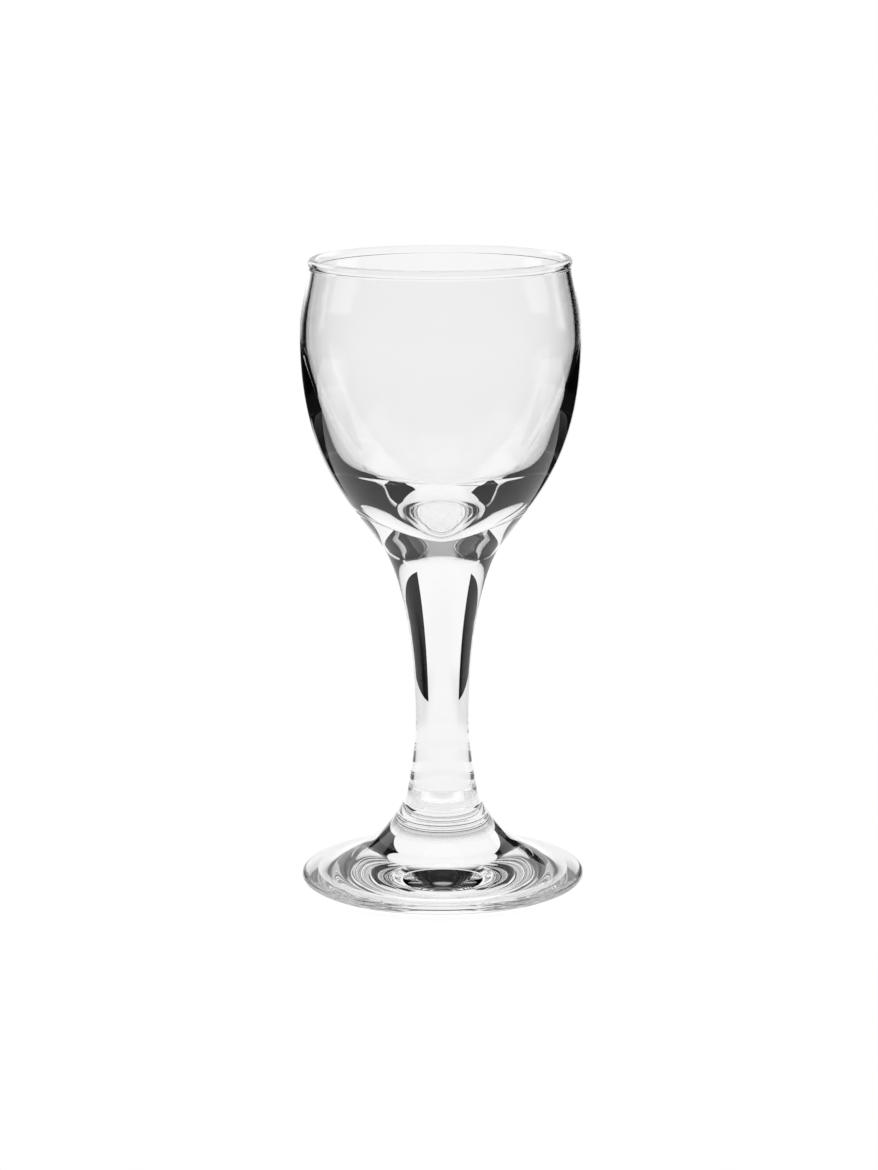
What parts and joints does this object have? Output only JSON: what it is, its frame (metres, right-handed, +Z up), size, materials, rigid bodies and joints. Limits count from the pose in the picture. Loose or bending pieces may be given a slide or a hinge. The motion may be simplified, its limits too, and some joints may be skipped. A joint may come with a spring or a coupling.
{
  "type": "sherry glass",
  "caption": "Small clear sherry glass: tulip bowl, thin at its rounded rim and thick at its pointed bottom, on a short flared stem with a collar and a domed round foot.",
  "frame": {"origin": "centre of the ring the foot stands on, at table height", "axes": "+Z up along the glass's axis of revolution, from the foot to the rim; +X and +Y lie in the table plane"},
  "size_m": [0.0506, 0.0506, 0.112],
  "materials": {
    "bowl_glass": "fire-polished clear",
    "stem_glass": "fire-polished clear",
    "collar_glass": "fire-polished clear",
    "foot_glass": "pressed clear"
  },
  "bodies": {
    "root": {"bowl": "bowl_glass", "stem": "stem_glass", "collar": "collar_glass", "foot": "foot_glass"}
  },
  "joints": []
}
